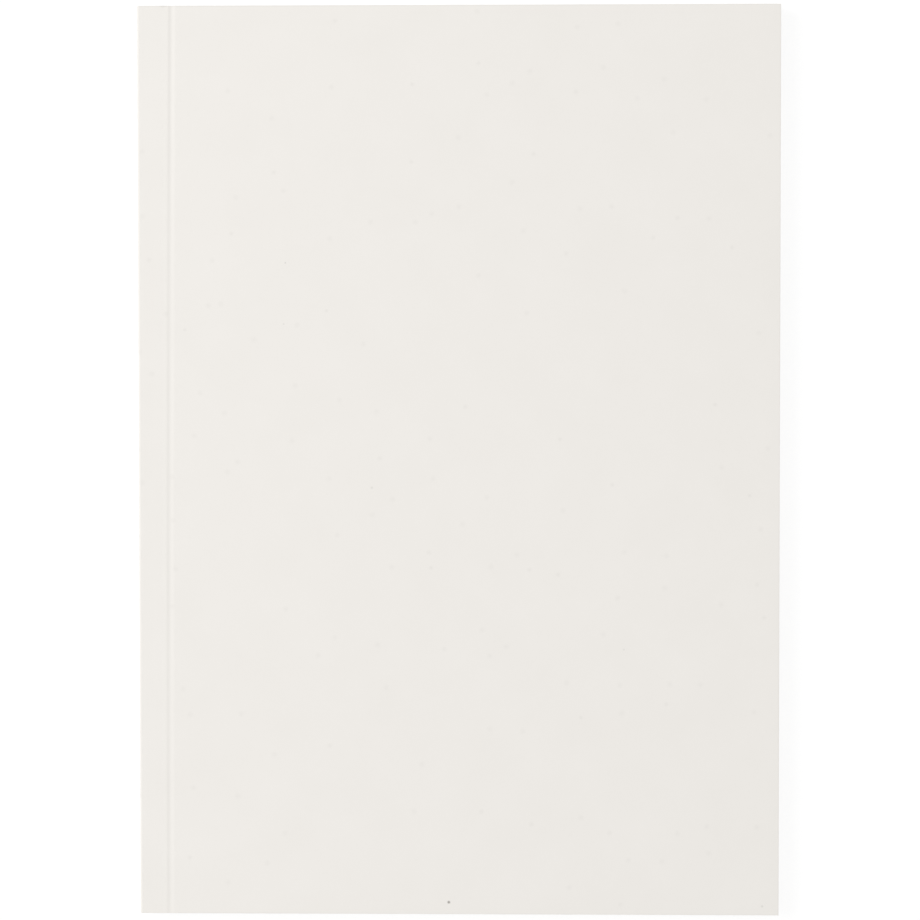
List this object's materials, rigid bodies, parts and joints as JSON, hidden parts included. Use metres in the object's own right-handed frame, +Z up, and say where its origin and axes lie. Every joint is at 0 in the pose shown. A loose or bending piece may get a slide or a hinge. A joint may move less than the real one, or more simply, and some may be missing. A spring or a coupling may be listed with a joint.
{
  "type": "softcover notebook",
  "caption": "Thin perfect-bound notebook with a plain pale card cover, a scored hinge line beside the flat spine and blank leaves.",
  "frame": {"origin": "middle of the closed notebook's footprint, on the surface that its back cover lies on", "axes": "+Z up out of the front cover, +Y from tail to head of the page, +X from spine to fore edge"},
  "size_m": [0.148, 0.21, 0.007],
  "materials": {
    "cover_card": "matt uncoated off-white card with a few stray flecks",
    "leaf_paper": "smooth uncoated cream writing paper",
    "binding_glue": "set hot-melt glue, slightly glossy"
  },
  "bodies": {
    "binding": {"cover_spine_wrap": "cover_card", "bound_leaf_margins": "leaf_paper", "spine_glue": "binding_glue", "side_glue_front": "binding_glue", "side_glue_back": "binding_glue"},
    "front_cover": {"front_cover": "cover_card"},
    "back_cover": {"back_cover": "cover_card"},
    "leaf_01": {"leaf_01": "leaf_paper"},
    "leaf_02": {"leaf_02": "leaf_paper"},
    "leaf_03": {"leaf_03": "leaf_paper"},
    "leaf_04": {"leaf_04": "leaf_paper"},
    "leaf_05": {"leaf_05": "leaf_paper"},
    "leaf_06": {"leaf_06": "leaf_paper"},
    "leaf_07": {"leaf_07": "leaf_paper"},
    "leaf_08": {"leaf_08": "leaf_paper"},
    "leaf_09": {"leaf_09": "leaf_paper"},
    "leaf_10": {"leaf_10": "leaf_paper"},
    "leaf_11": {"leaf_11": "leaf_paper"},
    "leaf_12": {"leaf_12": "leaf_paper"},
    "leaf_13": {"leaf_13": "leaf_paper"},
    "leaf_14": {"leaf_14": "leaf_paper"},
    "leaf_15": {"leaf_15": "leaf_paper"},
    "leaf_16": {"leaf_16": "leaf_paper"},
    "leaf_17": {"leaf_17": "leaf_paper"},
    "leaf_18": {"leaf_18": "leaf_paper"},
    "leaf_19": {"leaf_19": "leaf_paper"},
    "leaf_20": {"leaf_20": "leaf_paper"},
    "leaf_21": {"leaf_21": "leaf_paper"},
    "leaf_22": {"leaf_22": "leaf_paper"},
    "leaf_23": {"leaf_23": "leaf_paper"},
    "leaf_24": {"leaf_24": "leaf_paper"},
    "leaf_25": {"leaf_25": "leaf_paper"},
    "leaf_26": {"leaf_26": "leaf_paper"},
    "leaf_27": {"leaf_27": "leaf_paper"},
    "leaf_28": {"leaf_28": "leaf_paper"},
    "leaf_29": {"leaf_29": "leaf_paper"},
    "leaf_30": {"leaf_30": "leaf_paper"},
    "leaf_31": {"leaf_31": "leaf_paper"},
    "leaf_32": {"leaf_32": "leaf_paper"},
    "leaf_33": {"leaf_33": "leaf_paper"},
    "leaf_34": {"leaf_34": "leaf_paper"},
    "leaf_35": {"leaf_35": "leaf_paper"},
    "leaf_36": {"leaf_36": "leaf_paper"},
    "leaf_37": {"leaf_37": "leaf_paper"},
    "leaf_38": {"leaf_38": "leaf_paper"},
    "leaf_39": {"leaf_39": "leaf_paper"},
    "leaf_40": {"leaf_40": "leaf_paper"},
    "leaf_41": {"leaf_41": "leaf_paper"},
    "leaf_42": {"leaf_42": "leaf_paper"},
    "leaf_43": {"leaf_43": "leaf_paper"},
    "leaf_44": {"leaf_44": "leaf_paper"},
    "leaf_45": {"leaf_45": "leaf_paper"},
    "leaf_46": {"leaf_46": "leaf_paper"},
    "leaf_47": {"leaf_47": "leaf_paper"},
    "leaf_48": {"leaf_48": "leaf_paper"}
  },
  "joints": [
    {"name": "front_cover_hinge", "type": "hinge", "parent": "binding", "child": "front_cover", "pos_m": [-0.067, 0, 0.00704], "axis": [0, -1, 0], "range_deg": [0, 178]},
    {"name": "back_cover_hinge", "type": "hinge", "parent": "binding", "child": "back_cover", "pos_m": [-0.067, 0, -0.00005], "axis": [0, 1, 0], "range_deg": [0, 178]},
    {"name": "leaf_01_turn", "type": "hinge", "parent": "binding", "child": "leaf_01", "pos_m": [-0.067, 0, 0.00704], "axis": [0, -1, 0], "range_deg": [0, 178]},
    {"name": "leaf_02_turn", "type": "hinge", "parent": "binding", "child": "leaf_02", "pos_m": [-0.067, 0, 0.00704], "axis": [0, -1, 0], "range_deg": [0, 178]},
    {"name": "leaf_03_turn", "type": "hinge", "parent": "binding", "child": "leaf_03", "pos_m": [-0.067, 0, 0.00704], "axis": [0, -1, 0], "range_deg": [0, 178]},
    {"name": "leaf_04_turn", "type": "hinge", "parent": "binding", "child": "leaf_04", "pos_m": [-0.067, 0, 0.00704], "axis": [0, -1, 0], "range_deg": [0, 178]},
    {"name": "leaf_05_turn", "type": "hinge", "parent": "binding", "child": "leaf_05", "pos_m": [-0.067, 0, 0.00704], "axis": [0, -1, 0], "range_deg": [0, 178]},
    {"name": "leaf_06_turn", "type": "hinge", "parent": "binding", "child": "leaf_06", "pos_m": [-0.067, 0, 0.00704], "axis": [0, -1, 0], "range_deg": [0, 178]},
    {"name": "leaf_07_turn", "type": "hinge", "parent": "binding", "child": "leaf_07", "pos_m": [-0.067, 0, 0.00704], "axis": [0, -1, 0], "range_deg": [0, 178]},
    {"name": "leaf_08_turn", "type": "hinge", "parent": "binding", "child": "leaf_08", "pos_m": [-0.067, 0, 0.00704], "axis": [0, -1, 0], "range_deg": [0, 178]},
    {"name": "leaf_09_turn", "type": "hinge", "parent": "binding", "child": "leaf_09", "pos_m": [-0.067, 0, 0.00704], "axis": [0, -1, 0], "range_deg": [0, 178]},
    {"name": "leaf_10_turn", "type": "hinge", "parent": "binding", "child": "leaf_10", "pos_m": [-0.067, 0, 0.00704], "axis": [0, -1, 0], "range_deg": [0, 178]},
    {"name": "leaf_11_turn", "type": "hinge", "parent": "binding", "child": "leaf_11", "pos_m": [-0.067, 0, 0.00704], "axis": [0, -1, 0], "range_deg": [0, 178]},
    {"name": "leaf_12_turn", "type": "hinge", "parent": "binding", "child": "leaf_12", "pos_m": [-0.067, 0, 0.00704], "axis": [0, -1, 0], "range_deg": [0, 178]},
    {"name": "leaf_13_turn", "type": "hinge", "parent": "binding", "child": "leaf_13", "pos_m": [-0.067, 0, 0.00704], "axis": [0, -1, 0], "range_deg": [0, 178]},
    {"name": "leaf_14_turn", "type": "hinge", "parent": "binding", "child": "leaf_14", "pos_m": [-0.067, 0, 0.00704], "axis": [0, -1, 0], "range_deg": [0, 178]},
    {"name": "leaf_15_turn", "type": "hinge", "parent": "binding", "child": "leaf_15", "pos_m": [-0.067, 0, 0.00704], "axis": [0, -1, 0], "range_deg": [0, 178]},
    {"name": "leaf_16_turn", "type": "hinge", "parent": "binding", "child": "leaf_16", "pos_m": [-0.067, 0, 0.00704], "axis": [0, -1, 0], "range_deg": [0, 178]},
    {"name": "leaf_17_turn", "type": "hinge", "parent": "binding", "child": "leaf_17", "pos_m": [-0.067, 0, 0.00704], "axis": [0, -1, 0], "range_deg": [0, 178]},
    {"name": "leaf_18_turn", "type": "hinge", "parent": "binding", "child": "leaf_18", "pos_m": [-0.067, 0, 0.00704], "axis": [0, -1, 0], "range_deg": [0, 178]},
    {"name": "leaf_19_turn", "type": "hinge", "parent": "binding", "child": "leaf_19", "pos_m": [-0.067, 0, 0.00704], "axis": [0, -1, 0], "range_deg": [0, 178]},
    {"name": "leaf_20_turn", "type": "hinge", "parent": "binding", "child": "leaf_20", "pos_m": [-0.067, 0, 0.00704], "axis": [0, -1, 0], "range_deg": [0, 178]},
    {"name": "leaf_21_turn", "type": "hinge", "parent": "binding", "child": "leaf_21", "pos_m": [-0.067, 0, 0.00704], "axis": [0, -1, 0], "range_deg": [0, 178]},
    {"name": "leaf_22_turn", "type": "hinge", "parent": "binding", "child": "leaf_22", "pos_m": [-0.067, 0, 0.00704], "axis": [0, -1, 0], "range_deg": [0, 178]},
    {"name": "leaf_23_turn", "type": "hinge", "parent": "binding", "child": "leaf_23", "pos_m": [-0.067, 0, 0.00704], "axis": [0, -1, 0], "range_deg": [0, 178]},
    {"name": "leaf_24_turn", "type": "hinge", "parent": "binding", "child": "leaf_24", "pos_m": [-0.067, 0, 0.00704], "axis": [0, -1, 0], "range_deg": [0, 178]},
    {"name": "leaf_25_turn", "type": "hinge", "parent": "binding", "child": "leaf_25", "pos_m": [-0.067, 0, 0.00704], "axis": [0, -1, 0], "range_deg": [0, 178]},
    {"name": "leaf_26_turn", "type": "hinge", "parent": "binding", "child": "leaf_26", "pos_m": [-0.067, 0, 0.00704], "axis": [0, -1, 0], "range_deg": [0, 178]},
    {"name": "leaf_27_turn", "type": "hinge", "parent": "binding", "child": "leaf_27", "pos_m": [-0.067, 0, 0.00704], "axis": [0, -1, 0], "range_deg": [0, 178]},
    {"name": "leaf_28_turn", "type": "hinge", "parent": "binding", "child": "leaf_28", "pos_m": [-0.067, 0, 0.00704], "axis": [0, -1, 0], "range_deg": [0, 178]},
    {"name": "leaf_29_turn", "type": "hinge", "parent": "binding", "child": "leaf_29", "pos_m": [-0.067, 0, 0.00704], "axis": [0, -1, 0], "range_deg": [0, 178]},
    {"name": "leaf_30_turn", "type": "hinge", "parent": "binding", "child": "leaf_30", "pos_m": [-0.067, 0, 0.00704], "axis": [0, -1, 0], "range_deg": [0, 178]},
    {"name": "leaf_31_turn", "type": "hinge", "parent": "binding", "child": "leaf_31", "pos_m": [-0.067, 0, 0.00704], "axis": [0, -1, 0], "range_deg": [0, 178]},
    {"name": "leaf_32_turn", "type": "hinge", "parent": "binding", "child": "leaf_32", "pos_m": [-0.067, 0, 0.00704], "axis": [0, -1, 0], "range_deg": [0, 178]},
    {"name": "leaf_33_turn", "type": "hinge", "parent": "binding", "child": "leaf_33", "pos_m": [-0.067, 0, 0.00704], "axis": [0, -1, 0], "range_deg": [0, 178]},
    {"name": "leaf_34_turn", "type": "hinge", "parent": "binding", "child": "leaf_34", "pos_m": [-0.067, 0, 0.00704], "axis": [0, -1, 0], "range_deg": [0, 178]},
    {"name": "leaf_35_turn", "type": "hinge", "parent": "binding", "child": "leaf_35", "pos_m": [-0.067, 0, 0.00704], "axis": [0, -1, 0], "range_deg": [0, 178]},
    {"name": "leaf_36_turn", "type": "hinge", "parent": "binding", "child": "leaf_36", "pos_m": [-0.067, 0, 0.00704], "axis": [0, -1, 0], "range_deg": [0, 178]},
    {"name": "leaf_37_turn", "type": "hinge", "parent": "binding", "child": "leaf_37", "pos_m": [-0.067, 0, 0.00704], "axis": [0, -1, 0], "range_deg": [0, 178]},
    {"name": "leaf_38_turn", "type": "hinge", "parent": "binding", "child": "leaf_38", "pos_m": [-0.067, 0, 0.00704], "axis": [0, -1, 0], "range_deg": [0, 178]},
    {"name": "leaf_39_turn", "type": "hinge", "parent": "binding", "child": "leaf_39", "pos_m": [-0.067, 0, 0.00704], "axis": [0, -1, 0], "range_deg": [0, 178]},
    {"name": "leaf_40_turn", "type": "hinge", "parent": "binding", "child": "leaf_40", "pos_m": [-0.067, 0, 0.00704], "axis": [0, -1, 0], "range_deg": [0, 178]},
    {"name": "leaf_41_turn", "type": "hinge", "parent": "binding", "child": "leaf_41", "pos_m": [-0.067, 0, 0.00704], "axis": [0, -1, 0], "range_deg": [0, 178]},
    {"name": "leaf_42_turn", "type": "hinge", "parent": "binding", "child": "leaf_42", "pos_m": [-0.067, 0, 0.00704], "axis": [0, -1, 0], "range_deg": [0, 178]},
    {"name": "leaf_43_turn", "type": "hinge", "parent": "binding", "child": "leaf_43", "pos_m": [-0.067, 0, 0.00704], "axis": [0, -1, 0], "range_deg": [0, 178]},
    {"name": "leaf_44_turn", "type": "hinge", "parent": "binding", "child": "leaf_44", "pos_m": [-0.067, 0, 0.00704], "axis": [0, -1, 0], "range_deg": [0, 178]},
    {"name": "leaf_45_turn", "type": "hinge", "parent": "binding", "child": "leaf_45", "pos_m": [-0.067, 0, 0.00704], "axis": [0, -1, 0], "range_deg": [0, 178]},
    {"name": "leaf_46_turn", "type": "hinge", "parent": "binding", "child": "leaf_46", "pos_m": [-0.067, 0, 0.00704], "axis": [0, -1, 0], "range_deg": [0, 178]},
    {"name": "leaf_47_turn", "type": "hinge", "parent": "binding", "child": "leaf_47", "pos_m": [-0.067, 0, 0.00704], "axis": [0, -1, 0], "range_deg": [0, 178]},
    {"name": "leaf_48_turn", "type": "hinge", "parent": "binding", "child": "leaf_48", "pos_m": [-0.067, 0, 0.00704], "axis": [0, -1, 0], "range_deg": [0, 178]}
  ],
  "couplings": [
    {"joint": "leaf_01_turn", "follows": "front_cover_hinge", "ratio": 0.998},
    {"joint": "leaf_02_turn", "follows": "front_cover_hinge", "ratio": 0.996},
    {"joint": "leaf_03_turn", "follows": "front_cover_hinge", "ratio": 0.994},
    {"joint": "leaf_04_turn", "follows": "front_cover_hinge", "ratio": 0.992},
    {"joint": "leaf_05_turn", "follows": "front_cover_hinge", "ratio": 0.99},
    {"joint": "leaf_06_turn", "follows": "front_cover_hinge", "ratio": 0.988},
    {"joint": "leaf_07_turn", "follows": "front_cover_hinge", "ratio": 0.986},
    {"joint": "leaf_08_turn", "follows": "front_cover_hinge", "ratio": 0.9839},
    {"joint": "leaf_09_turn", "follows": "front_cover_hinge", "ratio": 0.9818},
    {"joint": "leaf_10_turn", "follows": "front_cover_hinge", "ratio": 0.9797},
    {"joint": "leaf_11_turn", "follows": "front_cover_hinge", "ratio": 0.9775},
    {"joint": "leaf_12_turn", "follows": "front_cover_hinge", "ratio": 0.9752},
    {"joint": "leaf_13_turn", "follows": "front_cover_hinge", "ratio": 0.9727},
    {"joint": "leaf_14_turn", "follows": "front_cover_hinge", "ratio": 0.9701},
    {"joint": "leaf_15_turn", "follows": "front_cover_hinge", "ratio": 0.9671},
    {"joint": "leaf_16_turn", "follows": "front_cover_hinge", "ratio": 0.9639},
    {"joint": "leaf_17_turn", "follows": "front_cover_hinge", "ratio": 0.96},
    {"joint": "leaf_18_turn", "follows": "front_cover_hinge", "ratio": 0.9555},
    {"joint": "leaf_19_turn", "follows": "front_cover_hinge", "ratio": 0.9499},
    {"joint": "leaf_20_turn", "follows": "front_cover_hinge", "ratio": 0.9429},
    {"joint": "leaf_21_turn", "follows": "front_cover_hinge", "ratio": 0.9339},
    {"joint": "leaf_22_turn", "follows": "front_cover_hinge", "ratio": 0.9221},
    {"joint": "leaf_23_turn", "follows": "front_cover_hinge", "ratio": 0.9065},
    {"joint": "leaf_24_turn", "follows": "front_cover_hinge", "ratio": 0.8854},
    {"joint": "leaf_25_turn", "follows": "front_cover_hinge", "ratio": 0.1146},
    {"joint": "leaf_26_turn", "follows": "front_cover_hinge", "ratio": 0.0935},
    {"joint": "leaf_27_turn", "follows": "front_cover_hinge", "ratio": 0.0779},
    {"joint": "leaf_28_turn", "follows": "front_cover_hinge", "ratio": 0.0661},
    {"joint": "leaf_29_turn", "follows": "front_cover_hinge", "ratio": 0.0571},
    {"joint": "leaf_30_turn", "follows": "front_cover_hinge", "ratio": 0.0501},
    {"joint": "leaf_31_turn", "follows": "front_cover_hinge", "ratio": 0.0445},
    {"joint": "leaf_32_turn", "follows": "front_cover_hinge", "ratio": 0.04},
    {"joint": "leaf_33_turn", "follows": "front_cover_hinge", "ratio": 0.0361},
    {"joint": "leaf_34_turn", "follows": "front_cover_hinge", "ratio": 0.0329},
    {"joint": "leaf_35_turn", "follows": "front_cover_hinge", "ratio": 0.0299},
    {"joint": "leaf_36_turn", "follows": "front_cover_hinge", "ratio": 0.0273},
    {"joint": "leaf_37_turn", "follows": "front_cover_hinge", "ratio": 0.0248},
    {"joint": "leaf_38_turn", "follows": "front_cover_hinge", "ratio": 0.0225},
    {"joint": "leaf_39_turn", "follows": "front_cover_hinge", "ratio": 0.0203},
    {"joint": "leaf_40_turn", "follows": "front_cover_hinge", "ratio": 0.0182},
    {"joint": "leaf_41_turn", "follows": "front_cover_hinge", "ratio": 0.0161},
    {"joint": "leaf_42_turn", "follows": "front_cover_hinge", "ratio": 0.014},
    {"joint": "leaf_43_turn", "follows": "front_cover_hinge", "ratio": 0.012},
    {"joint": "leaf_44_turn", "follows": "front_cover_hinge", "ratio": 0.01},
    {"joint": "leaf_45_turn", "follows": "front_cover_hinge", "ratio": 0.008},
    {"joint": "leaf_46_turn", "follows": "front_cover_hinge", "ratio": 0.006},
    {"joint": "leaf_47_turn", "follows": "front_cover_hinge", "ratio": 0.004},
    {"joint": "leaf_48_turn", "follows": "front_cover_hinge", "ratio": 0.002}
  ]
}
